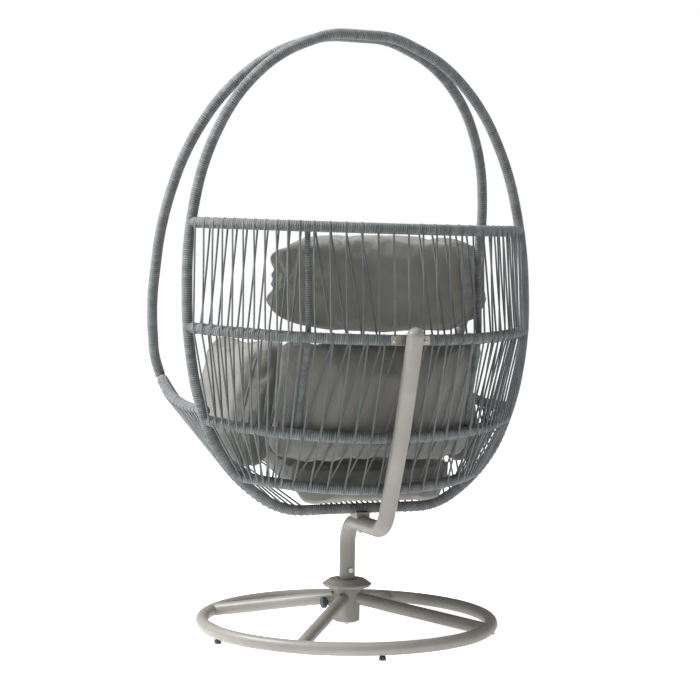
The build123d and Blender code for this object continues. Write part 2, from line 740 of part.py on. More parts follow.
# ---- write the nodes ----
def all_nodes():
    nodes = {
        "ring_tube": ring_tube(),
        "hub_sleeve": hub_sleeve(),
        "hub_flange": hub_flange(),
        "upper_bush": upper_bush(),
        "lower_bush": lower_bush(),
        "foot_glides": foot_glides(),
        "foot_screws": foot_screws(),
        "knob_boss": knob_boss(),
        "pressure_pad": pressure_pad(),
        "lock_stud": lock_stud(),
        "lock_knob": lock_knob(),
        "spindle": spindle(),
        "retaining_washer": retaining_washer(),
        "retaining_bolt": retaining_bolt(),
        "s_post": s_post(),
        "post_cap": post_cap(),
        "stub_bolt": stub_bolt(),
        "stub_nut": stub_nut(),
        "run_bolt": run_bolt(),
        "run_nut": run_nut(),
        "saddle": saddle(),
        "bracket_plate": bracket_plate(),
        "bracket_bolts": bracket_bolts(),
        "back_hoop": back_hoop(),
        "back_hoop_wrap": back_hoop_wrap(),
        "front_hoop": front_hoop(),
        "front_hoop_wrap": front_hoop_wrap(),
        "seat_rim": seat_rim(),
        "seat_rim_wrap": seat_rim_wrap(),
        "rib_left": rib(RIB_X, RIB_ROD / 2),
        "rib_right": rib(-RIB_X, RIB_ROD / 2),
        "rib_wraps": whole([rib(x, RIB_OUTER, RIB_ROD / 2) for x in (RIB_X, -RIB_X)]),
        "side_fan_left": side_fan(1),
        "side_fan_right": side_fan(-1),
        "seat_webbing": seat_webbing(),
        "seat_cushion": seat_cushion(),
        "back_cushion": back_cushion(),
        "head_cushion": head_cushion(),
        "arm_bolster_left": arm_bolster(1),
        "arm_bolster_right": arm_bolster(-1),
    }
    for k in range(SPOKE_COUNT):
        nodes[f"spoke_{k + 1}"] = spoke(FIRST_SPOKE_ANGLE + 360 / SPOKE_COUNT * k)
    for name in RAILS:
        nodes[f"rail_{name}"] = rail(name)
    nodes["rail_wraps"] = whole([rail_wrap(name) for name in RAILS])
    for bay in BAYS:
        cords = bay_cords(bay)
        nodes[f"weave_{bay}_left"] = weave_panel(cords, RIB_X, BACK_EGG[0])
        nodes[f"weave_{bay}_rear"] = weave_panel(cords, -RIB_X, RIB_X)
        nodes[f"weave_{bay}_right"] = weave_panel(cords, -BACK_EGG[0], -RIB_X)
    return nodes


os.makedirs("parts", exist_ok=True)
for node, shape in all_nodes().items():
    export_step(shape, f"parts/{node}.step")
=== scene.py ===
import json
import math

import bmesh
import bpy
import numpy as np
from mathutils import Matrix, Vector, noise


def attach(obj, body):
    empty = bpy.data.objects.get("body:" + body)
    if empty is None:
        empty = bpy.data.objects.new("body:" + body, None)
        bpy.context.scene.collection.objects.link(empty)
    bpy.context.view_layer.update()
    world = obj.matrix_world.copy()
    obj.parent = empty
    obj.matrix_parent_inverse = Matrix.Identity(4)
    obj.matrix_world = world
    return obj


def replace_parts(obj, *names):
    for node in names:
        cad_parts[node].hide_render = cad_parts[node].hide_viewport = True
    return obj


# Looks of the swivel egg chair, in metres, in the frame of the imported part.

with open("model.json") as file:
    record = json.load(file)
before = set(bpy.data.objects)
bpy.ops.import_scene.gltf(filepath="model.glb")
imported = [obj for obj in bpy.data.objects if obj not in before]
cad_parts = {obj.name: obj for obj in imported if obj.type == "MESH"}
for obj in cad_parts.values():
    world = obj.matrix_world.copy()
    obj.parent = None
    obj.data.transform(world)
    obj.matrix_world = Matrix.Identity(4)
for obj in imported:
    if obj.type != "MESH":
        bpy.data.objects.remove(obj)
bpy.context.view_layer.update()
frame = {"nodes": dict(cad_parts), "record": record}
NODES = frame["nodes"]
MM = 0.001
CHAIR = "chair"

# ---- the basket's dimensions, as the part has them, in millimetres ----
HOOP_OUTER = 14.0
RAIL_OUTER = 12.0
RIB_OUTER = 7.5
HOOP_TOP_Z = 1568.0
HOOP_BOTTOM_Z = 336.0
HOOP_Y = 85.0
HOOP_TOP_Y = 63.0
HOOP_SHIFT_Z = (850.0, 1150.0)
FRONT_HOOP_TOP_Y = 16.0
FRONT_HOOP_TILT = 21.3
FRONT_HOOP_REACH = 968.0
BACK_EGG = (472.5, 668.0, 564.0, 2.2, 3.25)
FRONT_EGG = (471.0, 642.0, 620.0, 2.2, 2.65)
EGG_HEIGHT_POWER = 2.2
HOOP_ANGLES = [9, 27, 45, 63, 81, 99, 117, 135, 150, 164]
FRONT_HOOP_ANGLES = [9, 27, 45, 63, 81, 99, 113]
CORNER_GROWTH = 1 / math.cos(math.radians(9))
RAILS = {
    "top": (1070.0, 14.0, 362.0),
    "upper": (807.0, 23.0, 378.0),
    "lower": (573.0, 36.0, 300.0),
    "bottom": (430.0, 28.0, 240.0),
}
SEAT_RIM = [
    (426.0, 85.0, 596.0), (430.0, -70.0, 596.0), (431.0, -210.0, 616.0), (424.0, -335.0, 666.0),
    (378.0, -360.0, 603.0), (296.0, -394.0, 515.0), (180.0, -427.0, 440.0), (0.0, -427.0, 440.0),
]
RIB_X = 240.0
CORD = 5.0
CORD_GAP = 0.2
# Each bay: its rails, the drops left of the ribs, between them and right of them, and whether the
# returning cord steps on (1) or back (-1) by one drop in each of those stretches
BAYS = {
    "top": ("top", "upper", (11, 13, 11), (-1, 1, 1)),
    "mid": ("upper", "lower", (12, 12, 12), (-1, -1, -1)),
    "low": ("lower", "bottom", (8, 12, 8), (-1, -1, -1)),
}
HOOP_MARGIN = 0.012             # share of a rail left free of drops beside the back hoop
SIDE_CORDS = 24
SEAT_CORDS = 16
BASKET_MIDDLE = np.array([0.0, -100.0, 800.0])
RIM_SPAN = (0.05, 0.765)
HOOP_SPAN = (0.71, 0.928)
PLATE_HALF_WIDTH = 52.0

# ---- wound cord, in millimetres ----
TURN_PITCH = 5.6                # from one turn of cord to the next
TURN_RELIEF = 1.5               # from the crown of a turn to the valley beside it
RINGS_PER_TURN = 6
TURN_FULLNESS = 0.6             # power of the turns' wave; less makes rounder crowns, tighter valleys
RAIL_RELIEF = 2.0               # crown to valley on the rails
RIB_RELIEF = 1.0                # crown to valley on the ribs
RAIL_TURNS = 14.0               # outer radius of the turns on a rail
RIB_SHARE = 0.2                 # of a rib's straight runs taken up by its bends

# ---- strung cord, in millimetres ----
DROP_REACH = 12.6               # from a rail's middle to the middle of a cord that turns round it
BOW = 1.6                       # furthest a hand-strung cord stands in or out of line
SWAY = 1.4                      # furthest it stands sideways out of line
TUCK_DEPTH = 5.5                # how far the end of a side or seat cord sinks into the turns
TUCK_ANGLE = 100                # degrees that such an end follows the tube round
PRESSED_IN = 2.5                # how far such a cord presses into the turns where it lies on them
SEAT_SPREAD = 0.9               # share of the rim's front and the hoop's foot that the seat cords take up

# ---- cushions, in metres ----
COVER_VOXEL = 0.0065
COVER_SHRINK = 0.005            # taken off before the cover is blown up
COVER_PRESSURE = 4.0
CLOTH_STEPS = 20
FOLD_LENGTHENING = 0.68         # 0 leaves folds as long as they are wide
FINE_FOLDS = 0.45               # size of the fine folds beside the main ones
FINE_FOLD_SHARE = 0.35
HEAD_MIDDLE = (0.025, 0.262, 0.925)
HEAD_HALF_LENGTH = 0.300
GATHERS = 11                    # round the end of the head pillow
GATHER_TWIST = 9
GATHER_DEPTH = 0.004
BOLSTER_TURN = 7                # degrees about Z
BOLSTER_LEAN = -14              # degrees about Y
SEAM_SHARES = (0.18, 0.82)      # of a bolster's thickness
SEAM_DEPTH = 0.003
SEAM_WIDTH = 0.010
PIPING_RADIUS = 0.0026
PIPING_SINK = 0.0012            # how far the piping sits in the cover
PIPING_STEP = 0.006
PIPING_SIDES = 8
PIPING_SMOOTHING = 6

# ---- patterns of the materials, in metres ----
BRAID_REPEAT = 0.0042
THREAD_PITCH = 0.0016

# ---- floor, light and camera, in metres, degrees and watts ----
FLOOR_SIZE = 60
FLOOR_DROP = 0.0005             # below the glides
FLOOR_GLOW = 0.80
AMBIENT = 0.26
BACKDROP = 1.0
# Each light: its place, where it points, its diameter and its power
LIGHTS = {
    "key": ((2.7, -0.8, 3.2), (0, 0, 0.8), 1.3, 270),
    "top": ((0.2, 0.3, 3.8), (0, 0, 0.6), 2.4, 60),
}
CAMERA_AZIMUTH = 158.0
CAMERA_DISTANCE = 4.608
CAMERA_HEIGHT = 0.905
CAMERA_PITCH = 1.975
CAMERA_ROLL = 0.75
CAMERA_LENS = 89.49             # millimetres, on a sensor 36 mm wide


# ---- small vector tools ----
def unit(v):
    return v / np.linalg.norm(v)


def arr(*v):
    return np.array(v, float)


def wobble(k, low, high):
    """A fixed value between low and high for each whole number k."""
    share = (math.sin(k * 12.9898 + 4.1) * 43758.5453) % 1.0
    return low + (high - low) * share


# ---- lines ----
def rounded_path(points, share=0.48):
    """Dense points along straight runs joined by tangent arcs."""
    corners = [np.array(p, float) for p in points]
    line = [corners[0]]
    for before, corner, after in zip(corners, corners[1:], corners[2:]):
        back = before - corner
        ahead = after - corner
        reach = share * min(np.linalg.norm(back), np.linalg.norm(ahead))
        u, v = unit(back), unit(ahead)
        half = math.acos(np.clip(u @ v, -1, 1)) / 2
        start, end = corner + u * reach, corner + v * reach
        if half > math.radians(89.9):
            line += [start, end]
            continue
        centre = corner + unit(u + v) * reach / math.cos(half)
        radius = reach * math.tan(half)
        first = unit(start - centre)
        second = unit((end - centre) - first * ((end - centre) @ first))
        sweep = math.pi - 2 * half
        for step in np.linspace(0, sweep, 25):
            line.append(centre + radius * (first * math.cos(step) + second * math.sin(step)))
    line.append(corners[-1])
    return np.array(line)


def lengths(line):
    return np.concatenate([[0], np.cumsum(np.linalg.norm(np.diff(line, axis=0), axis=1))])


def resampled(line, count):
    """Points at equal steps along a line."""
    s = lengths(line)
    at = np.linspace(0, s[-1], count)
    return np.stack([np.interp(at, s, line[:, axis]) for axis in range(3)], 1)


def at_share(line, share):
    """Point and direction at a share of a line's length."""
    s = lengths(line)
    here = share * s[-1]
    step = 1.0
    ends = [np.array([np.interp(np.clip(here + d, 0, s[-1]), s, line[:, axis]) for axis in range(3)])
            for d in (-step, 0, step)]
    return ends[1], unit(ends[2] - ends[0])


def directions(line, closed=False):
    if closed:
        return np.array([unit(v) for v in np.roll(line, -1, 0) - np.roll(line, 1, 0)])
    ahead = np.gradient(line, axis=0)
    return ahead / np.linalg.norm(ahead, axis=1)[:, None]


def mirrored(line):
    return line * arr(-1, 1, 1)


# ---- the basket's curves ----
def egg_half_width(egg, drop):
    half_width, above, below, upper_power, lower_power = egg
    offset = (drop - above) / (above if drop < above else below)
    power = upper_power if drop < above else lower_power
    return half_width * max(0.0, 1 - abs(offset) ** EGG_HEIGHT_POWER) ** (1 / power)


def egg_points(egg, angles):
    half_width, above, below, upper_power, lower_power = egg
    points = []
    for angle in angles:
        power = upper_power if angle <= 90 else lower_power
        height = above if angle <= 90 else -below
        across = half_width * math.sin(math.radians(angle)) ** (2 / power)
        along = height * abs(math.cos(math.radians(angle))) ** (2 / EGG_HEIGHT_POWER)
        points.append((across * CORNER_GROWTH, above - along * CORNER_GROWTH))
    return points


def hoop_y(z):
    low, high = HOOP_SHIFT_Z
    share = min(1.0, max(0.0, (z - low) / (high - low)))
    return HOOP_Y + (HOOP_TOP_Y - HOOP_Y) * share * share * (3 - 2 * share)


def back_hoop_half():
    corners = egg_points(BACK_EGG, HOOP_ANGLES)
    points = [(0.0, HOOP_TOP_Y, HOOP_TOP_Z)]
    points += [(x, hoop_y(HOOP_TOP_Z - drop), HOOP_TOP_Z - drop) for x, drop in corners]
    points[1] = (points[1][0], points[1][1], HOOP_TOP_Z)
    points[-1] = (points[-1][0], points[-1][1], HOOP_BOTTOM_Z)
    points.append((0.0, HOOP_Y, HOOP_BOTTOM_Z))
    return rounded_path(points)


def front_hoop_half():
    lean = math.radians(FRONT_HOOP_TILT)
    flat = egg_points(FRONT_EGG, FRONT_HOOP_ANGLES)
    flat[0] = (flat[0][0], 0.0)
    flat.append((egg_half_width(FRONT_EGG, FRONT_HOOP_REACH), FRONT_HOOP_REACH))
    flat.insert(0, (0.0, 0.0))
    return rounded_path([
        (x, FRONT_HOOP_TOP_Y - drop * math.sin(lean), HOOP_TOP_Z - drop * math.cos(lean))
        for x, drop in flat
    ])


def rail_line(name, shares):
    """Points on a rail's circular arc, from +X round the rear to -X."""
    z_end, dip, rear_y = RAILS[name]
    half_width = egg_half_width(BACK_EGG, HOOP_TOP_Z - z_end)
    y_end = hoop_y(z_end)
    rear = arr(0, rear_y - y_end, -dip)
    depth = np.linalg.norm(rear)
    radius = (half_width ** 2 + depth ** 2) / (2 * depth)
    span = math.atan2(half_width, radius - depth)
    angles = span * (1 - 2 * np.asarray(shares, float))
    across = radius * np.sin(angles)
    out = radius * np.cos(angles) - (radius - depth)
    return arr(0, y_end, z_end) + across[:, None] * arr(1, 0, 0) + out[:, None] * rear / depth


BACK_HOOP = back_hoop_half()
FRONT_HOOP = front_hoop_half()
RIM_HALF = rounded_path(SEAT_RIM)


# ---- meshes along lines ----
def add_piece(name, verts, faces, uvs, material, body=CHAIR):
    mesh = bpy.data.meshes.new(name)
    mesh.from_pydata((np.asarray(verts) * MM).tolist(), [], faces)
    if uvs is not None:
        layer = mesh.uv_layers.new(name="along_across")
        layer.data.foreach_set("uv", np.asarray(uvs, np.float32).ravel())
    mesh.polygons.foreach_set("use_smooth", [True] * len(mesh.polygons))
    mesh.update()
    obj = bpy.data.objects.new(name, mesh)
    bpy.context.scene.collection.objects.link(obj)
    obj.data.materials.append(material)
    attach(obj, body)
    return obj


class Strands:
    """Collects tubes into one mesh, with UVs (length along in metres, index + share around)."""

    def __init__(self):
        self.verts, self.faces, self.uvs = [], [], []
        self.count = 0
        self.index = 0

    def add(self, rings, along, across):
        """rings is (n, sides, 3); along and across are (n, sides + 1) UV values."""
        n, sides = rings.shape[:2]
        base = self.count
        self.verts.append(rings.reshape(-1, 3))
        self.count += n * sides
        for i in range(n - 1):
            for j in range(sides):
                k = (j + 1) % sides
                a, b = base + i * sides, base + (i + 1) * sides
                self.faces.append((a + j, a + k, b + k, b + j))
                self.uvs += [(along[i, j], across[i, j]), (along[i, j + 1], across[i, j + 1]),
                             (along[i + 1, j + 1], across[i + 1, j + 1]), (along[i + 1, j], across[i + 1, j])]
        self.faces.append(tuple(base + j for j in reversed(range(sides))))
        self.uvs += [(along[0, 0], across[0, 0])] * sides
        self.faces.append(tuple(base + (n - 1) * sides + j for j in range(sides)))
        self.uvs += [(along[-1, 0], across[-1, 0])] * sides

    def cord(self, line, radius, sides=8):
        """One cord along a line, with frames carried along it."""
        line = np.asarray(line, float)
        ahead = directions(line)
        side = unit(np.cross(ahead[0], arr(0.31, 0.52, 0.79)))
        rings = []
        for point, t in zip(line, ahead):
            side = unit(side - t * (side @ t))
            up = np.cross(t, side)
            turn = [2 * math.pi * j / sides for j in range(sides)]
            rings.append([point + radius * (math.cos(a) * side + math.sin(a) * up) for a in turn])
        s = lengths(line) * MM
        along = np.repeat(s[:, None], sides + 1, 1)
        around = np.linspace(0.001, 0.999, sides + 1)[None, :]
        across = np.repeat(around, len(line), 0) + self.index
        self.add(np.array(rings), along, across)
        self.index += 1

    def wound(self, line, radius, reference, sides=14, pitch=TURN_PITCH, relief=TURN_RELIEF):
        """Turns of cord wound on a tube: a tube whose radius follows each turn as it climbs."""
        total = lengths(line)[-1]
        turns = max(2, round(total / pitch))
        line = resampled(line, turns * RINGS_PER_TURN + 1)
        ahead = directions(line)
        side = np.array([unit(reference - t * (reference @ t)) for t in ahead])
        up = np.cross(ahead, side)
        turn_at = np.arange(len(line))[:, None] / RINGS_PER_TURN
        around = np.arange(sides + 1)[None, :] / sides
        climb = turn_at + around
        crown = np.abs(np.sin(math.pi * climb)) ** TURN_FULLNESS
        r = radius - relief * (1 - crown)
        angle = 2 * math.pi * around[:, :sides]
        rings = (line[:, None, :]
                 + (r[:, :sides] * np.cos(angle))[..., None] * side[:, None, :]
                 + (r[:, :sides] * np.sin(angle))[..., None] * up[:, None, :])
        along = np.repeat(around, len(line), 0) * 2 * math.pi * radius * MM
        self.add(rings, along, climb + self.index)
        self.index += turns + 3

    def piece(self, name, material, slot, body=CHAIR):
        return add_piece(name, np.concatenate(self.verts), self.faces, self.uvs, material, body)


# ---- node tools for materials ----
class Shade:
    """A principled material and short calls that add nodes to it."""

    def __init__(self, name, roughness, metallic=0.0, sheen=0.0):
        self.material = bpy.data.materials.new(name)
        self.material.use_nodes = True
        self.tree = self.material.node_tree
        self.shader = self.tree.nodes["Principled BSDF"]
        self.shader.inputs["Roughness"].default_value = roughness
        self.shader.inputs["Metallic"].default_value = metallic
        self.shader.inputs["Sheen Weight"].default_value = sheen

    def node(self, kind, **values):
        made = self.tree.nodes.new(kind)
        for key, value in values.items():
            setattr(made, key, value)
        return made

    def link(self, source, target):
        self.tree.links.new(source, target)

    def math(self, operation, a, b=0.0):
        made = self.node("ShaderNodeMath", operation=operation)
        for slot, value in zip(made.inputs, (a, b)):
            if isinstance(value, (int, float)):
                slot.default_value = value
            else:
                self.link(value, slot)
        return made.outputs[0]

    def object_place(self):
        return self.node("ShaderNodeTexCoord").outputs["Object"]

    def noise(self, scale, detail=4.0, rough=0.55, vector=None):
        made = self.node("ShaderNodeTexNoise")
        made.inputs["Scale"].default_value = scale
        made.inputs["Detail"].default_value = detail
        made.inputs["Roughness"].default_value = rough
        self.link(vector or self.object_place(), made.inputs["Vector"])
        return made.outputs["Fac"]

    def ramp(self, value, stops):
        made = self.node("ShaderNodeValToRGB")
        ramp = made.color_ramp
        ramp.elements[0].position, ramp.elements[0].color = stops[0][0], (*stops[0][1], 1)
        ramp.elements[1].position, ramp.elements[1].color = stops[-1][0], (*stops[-1][1], 1)
        for place, colour in stops[1:-1]:
            ramp.elements.new(place).color = (*colour, 1)
        self.link(value, made.inputs["Fac"])
        return made.outputs["Color"]

    def span(self, value, low, high):
        made = self.node("ShaderNodeMapRange")
        self.link(value, made.inputs["Value"])
        made.inputs["To Min"].default_value = low
        made.inputs["To Max"].default_value = high
        return made.outputs["Result"]

    def colour(self, source):
        self.link(source, self.shader.inputs["Base Color"])

    def rough(self, source):
        self.link(source, self.shader.inputs["Roughness"])

    def bump(self, height, depth, strength=1.0):
        made = self.node("ShaderNodeBump")
        made.inputs["Strength"].default_value = strength
        made.inputs["Distance"].default_value = depth
        self.link(height, made.inputs["Height"])
        earlier = self.shader.inputs["Normal"].links
        if earlier:
            self.link(earlier[0].from_socket, made.inputs["Normal"])
        self.link(made.outputs["Normal"], self.shader.inputs["Normal"])


def linear(r, g, b):
    """Linear colour from 0 to 255 display values."""
    def one(c):
        c /= 255
        return c / 12.92 if c <= 0.04045 else ((c + 0.055) / 1.055) ** 2.4
    return (one(r), one(g), one(b))


# ---- materials ----
def powder_coat(name, base, dark, light):
    s = Shade(name, 0.42)
    cloud = s.noise(9.0, 5.0)
    s.colour(s.ramp(cloud, [(0.3, linear(*dark)), (0.5, linear(*base)), (0.75, linear(*light))]))
    s.rough(s.span(s.noise(60.0, 3.0), 0.36, 0.52))
    s.bump(s.noise(900.0, 2.0), 0.0004, 0.5)
    s.bump(s.noise(45.0, 2.0), 0.0006, 0.25)
    return s.material


def cord_material(name, dark, base, light, shaded_valleys):
    """Braided cord: strands cross at a slant, each cord or turn a little lighter or darker; wound cord also
    gets painted shade in the valleys between its turns.
    """
    s = Shade(name, 0.62, sheen=0.25)
    uv = s.node("ShaderNodeUVMap", uv_map="along_across").outputs["UV"]
    split = s.node("ShaderNodeSeparateXYZ")
    s.link(uv, split.inputs[0])
    along, across = split.outputs["X"], split.outputs["Y"]
    index = s.math("FLOOR", across)
    share = s.math("FRACT", across)
    lay = s.math("MULTIPLY", along, 2 * math.pi / BRAID_REPEAT)
    slant = s.math("MULTIPLY", share, 4 * math.pi)
    left = s.math("SINE", s.math("ADD", lay, slant))
    right = s.math("SINE", s.math("SUBTRACT", lay, slant))
    braid = s.math("MAXIMUM", left, right)
    fleck = s.node("ShaderNodeTexWhiteNoise", noise_dimensions="1D")
    s.link(index, fleck.inputs["W"])
    tone = s.math("ADD", s.math("MULTIPLY", fleck.outputs["Value"], 0.22),
                  s.math("MULTIPLY", s.noise(22.0, 4.0), 0.5))
    tone = s.math("ADD", tone, s.math("MULTIPLY", braid, 0.10))
    # Painted shade: each wound turn darkens towards its edges, in the valleys between the turns.
    if shaded_valleys:
        crown = s.math("SINE", s.math("MULTIPLY", share, math.pi))
        tone = s.math("ADD", tone, s.math("MULTIPLY", s.math("POWER", crown, 0.5), 0.62))
        tone = s.math("SUBTRACT", tone, 0.45)
    tone = s.math("ADD", tone, 0.12)
    s.colour(s.ramp(tone, [(0.1, linear(*dark)), (0.5, linear(*base)), (0.85, linear(*light))]))
    s.rough(s.span(s.noise(150.0, 2.0), 0.52, 0.72))
    s.bump(braid, 0.0006, 0.8)
    s.bump(s.noise(1400.0, 2.0), 0.0003, 0.4)
    return s.material


def cloth_material(name, dark, base, light):
    """Plain-woven cloth with a faint slub, in softly changing tones."""
    s = Shade(name, 0.86, sheen=0.35)
    place = s.object_place()
    split = s.node("ShaderNodeSeparateXYZ")
    s.link(place, split.inputs[0])
    pitch = 2 * math.pi / THREAD_PITCH
    waves = [s.math("SINE", s.math("MULTIPLY", split.outputs[axis], pitch)) for axis in "XYZ"]
    weave = s.math("MULTIPLY", s.math("ADD", waves[0], waves[1]), waves[2])
    slub = s.node("ShaderNodeMapping")
    slub.inputs["Scale"].default_value = (1.0, 1.0, 14.0)
    s.link(place, slub.inputs["Vector"])
    tone = s.math("ADD", s.math("MULTIPLY", s.noise(3.2, 4.0), 0.6),
                  s.math("MULTIPLY", s.noise(70.0, 3.0, vector=slub.outputs[0]), 0.4))
    tone = s.math("ADD", tone, s.math("MULTIPLY", weave, 0.035))
    s.colour(s.ramp(tone, [(0.25, linear(*dark)), (0.5, linear(*base)), (0.8, linear(*light))]))
    s.bump(weave, 0.0004, 0.5)
    s.bump(s.noise(28.0, 4.0), 0.003, 0.35)
    return s.material


def plastic_material(name, dark, light, roughness):
    s = Shade(name, roughness)
    s.colour(s.ramp(s.noise(30.0, 4.0), [(0.3, linear(*dark)), (0.7, linear(*light))]))
    s.rough(s.span(s.noise(120.0, 2.0), roughness - 0.08, roughness + 0.12))
    s.bump(s.noise(700.0, 2.0), 0.0003, 0.5)
    return s.material


def metal_material(name, dark, light, roughness):
    """Brushed metal: fine lines stretched along X, with a few darker patches."""
    s = Shade(name, roughness, metallic=1.0)
    lines = s.node("ShaderNodeMapping")
    lines.inputs["Scale"].default_value = (1.0, 30.0, 30.0)
    s.link(s.object_place(), lines.inputs["Vector"])
    brushed = s.noise(60.0, 3.0, vector=lines.outputs[0])
    s.colour(s.ramp(s.noise(25.0, 4.0), [(0.3, linear(*dark)), (0.7, linear(*light))]))
    s.rough(s.span(brushed, roughness - 0.08, roughness + 0.14))
    s.bump(brushed, 0.0002, 0.4)
    return s.material


MATERIALS = {
    "powder_coat": powder_coat("powder_coat_stone", (136, 133, 127), (128, 125, 119), (144, 141, 135)),
    "frame_tube": powder_coat("powder_coat_tube", (112, 112, 110), (102, 102, 100), (122, 122, 120)),
    "cord": cord_material("braided_cord", (50, 54, 56), (84, 89, 90), (118, 122, 122), False),
    "cushion_cloth": cloth_material("cushion_cloth", (90, 89, 84), (105, 104, 98), (120, 119, 113)),
    "dark_plastic": plastic_material("dark_plastic", (38, 44, 49), (56, 64, 71), 0.45),
    "nylon": plastic_material("nylon", (188, 186, 178), (206, 204, 197), 0.5),
    "steel": metal_material("stainless_steel", (150, 146, 136), (196, 193, 186), 0.34),
    "brass": metal_material("brass", (150, 122, 66), (196, 164, 98), 0.36),
}

# Wound cord on the frame, with painted shade in the valleys between its turns.
WOUND = cord_material("wound_cord", (26, 28, 30), (88, 93, 94), (128, 132, 132), True)

for row in frame["record"]["subparts"]:
    held = NODES[row["node"]].data.materials
    held.clear()
    held.append(MATERIALS[row["material_slot"]])


# ---- wound cord on the frame ----
def full_loop(half):
    return np.concatenate([half, mirrored(half)[::-1][1:]])


def open_span(half):
    """A mirrored pair of halves as one line that starts and ends at the sides."""
    return np.concatenate([half[::-1], mirrored(half)[1:]])


def winding(name, line, reference, node):
    made = Strands()
    made.wound(line, HOOP_OUTER, reference)
    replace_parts(made.piece(name, WOUND, "cord"), node)


winding("back_hoop_winding", full_loop(BACK_HOOP), arr(0, 1, 0), "back_hoop_wrap")
winding("front_hoop_winding", open_span(FRONT_HOOP), arr(0, 1, 0), "front_hoop_wrap")
winding("seat_rim_winding", full_loop(RIM_HALF), arr(0, 0, 1), "seat_rim_wrap")

rail_winding = Strands()
for rail in RAILS:
    rail_winding.wound(rail_line(rail, np.linspace(0, 1, 200)), RAIL_TURNS, arr(0, 0, 1), relief=RAIL_RELIEF)
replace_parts(rail_winding.piece("rail_windings", WOUND, "cord"), "rail_wraps")


def rib_line(x):
    """A rib's line on the inner side of three rails."""
    points = []
    for name in ("top", "upper", "lower"):
        dense = rail_line(name, np.linspace(0, 1, 801))
        k = int(np.argmin(np.abs(dense[:, 0] - x)))
        side = np.cross(dense[min(k + 1, 800)] - dense[k - 1], arr(0, 0, 1))
        side = unit(side * arr(1, 1, 0))
        if side @ (dense[k] - BASKET_MIDDLE) < 0:
            side = -side
        points.append(dense[k] - side * (RAIL_OUTER + RIB_OUTER + CORD_GAP))
    return rounded_path(points, RIB_SHARE)


rib_winding = Strands()
for x in (RIB_X, -RIB_X):
    rib_winding.wound(rib_line(x), RIB_OUTER, arr(0, 1, 0), sides=12, relief=RIB_RELIEF)
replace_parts(rib_winding.piece("rib_windings", WOUND, "cord"), "rib_wraps")


# ---- strung cord of the back ----
def outward_at(line, k):
    ahead = line[min(k + 1, len(line) - 1)] - line[max(k - 1, 0)]
    side = unit(np.cross(ahead, arr(0, 0, 1)) * arr(1, 1, 0))
    return side if side @ (line[k] - BASKET_MIDDLE) > 0 else -side


def run_offset(upper, lower, outward, reach):
    """From a rail's middle to where a cord strung along the outside of both rails touches it."""
    ahead = unit(lower - upper)
    return unit(outward - ahead * (outward @ ahead)) * reach


def turn_round(centre, first, last, outward, over):
    """Half a turn of cord round a rail, over or under it, between two touching points."""
    up = arr(0, 0, 1)
    rail_way = unit(np.cross(outward, up))

    def place(v):
        return math.atan2(v @ up, v @ outward), v @ rail_way, math.hypot(v @ up, v @ outward)

    a0, w0, r0 = place(first)
    a1, w1, r1 = place(last)
    if over:
        a0 = a0 % (2 * math.pi)
        a1 = (a1 + math.pi) % (2 * math.pi) - math.pi
    else:
        a0 = (a0 + math.pi) % (2 * math.pi) - math.pi
        a1 = a1 % (2 * math.pi) - 2 * math.pi
    points = []
    for share in np.linspace(0, 1, 9)[1:-1]:
        angle = a0 + (a1 - a0) * share
        radius = r0 + (r1 - r0) * share
        way = w0 + (w1 - w0) * share
        points.append(centre + radius * (math.cos(angle) * outward + math.sin(angle) * up)
                      + way * rail_way)
    return points


def slack_run(start, end, k, outward):
    """A strung run, barely out of line so that neighbours differ as hand-strung cords do."""
    bow = wobble(k, -BOW, BOW)
    sway = wobble(k + 500, -SWAY, SWAY)
    side = unit(np.cross(end - start, outward))
    points = []
    for share in np.linspace(0, 1, 8):
        lift = math.sin(math.pi * share)
        points.append(start + (end - start) * share + outward * bow * lift + side * sway * lift)
    return points


def drop_shares(name, counts):
    """Shares of a rail's length where cords drop, evenly in each stretch that the ribs part."""
    dense = rail_line(name, np.linspace(0, 1, 2001))[:, 0]
    bounds = [HOOP_MARGIN, float(np.argmin(abs(dense - RIB_X))) / 2000,
              float(np.argmin(abs(dense + RIB_X))) / 2000, 1 - HOOP_MARGIN]
    shares = []
    for low, high, count in zip(bounds, bounds[1:], counts):
        shares += [low + (high - low) * (k + 0.5) / count for k in range(count)]
    return shares


def bay_strands(bay):
    """One bay's winding: down outside both rails, under the lower, and up inside to the next drop."""
    upper_name, lower_name, counts, steps = BAYS[bay]
    upper = rail_line(upper_name, drop_shares(upper_name, counts))
    lower = rail_line(lower_name, drop_shares(lower_name, counts))
    reach = DROP_REACH
    made = Strands()

    def hidden(point):
        return abs(point[0]) < PLATE_HALF_WIDTH + CORD

    first = 0
    for count, step in zip(counts, steps):
        order = list(range(first, first + count))
        if step > 0:
            order.reverse()
        line = []
        for place, k in enumerate(order):
            out = outward_at(upper, k)
            down = run_offset(upper[k], lower[k], out, reach)
            end = lower[k] + down
            if upper_name == "upper" and hidden(upper[k]):
                if len(line) > 2:
                    made.cord(line, CORD / 2)
                line = []
            else:
                line += slack_run(upper[k] + down, end, k, out)
            if place + 1 == count:
                break
            after = order[place + 1]
            out_next = outward_at(upper, after)
            back = run_offset(upper[after], lower[k], out_next, reach)
            foot, top = lower[k] - back, upper[after] - back
            if lower_name == "upper" and hidden(lower[k]):
                if len(line) > 2:
                    made.cord(line, CORD / 2)
                line = []
                continue
            if line:
                line += turn_round(lower[k], end - lower[k], foot - lower[k], out, False)
            line += slack_run(foot, top, k + 1000, out)
            next_down = run_offset(upper[after], lower[after], out_next, reach)
            if not (upper_name == "upper" and hidden(upper[after])):
                line += turn_round(upper[after], top - upper[after], next_down, out_next, True)
        if len(line) > 2:
            made.cord(line, CORD / 2)
        first += count
    return made


for bay in BAYS:
    piece = bay_strands(bay).piece(f"weave_{bay}", MATERIALS["cord"], "cord")
    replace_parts(piece, f"weave_{bay}_left", f"weave_{bay}_rear", f"weave_{bay}_right")


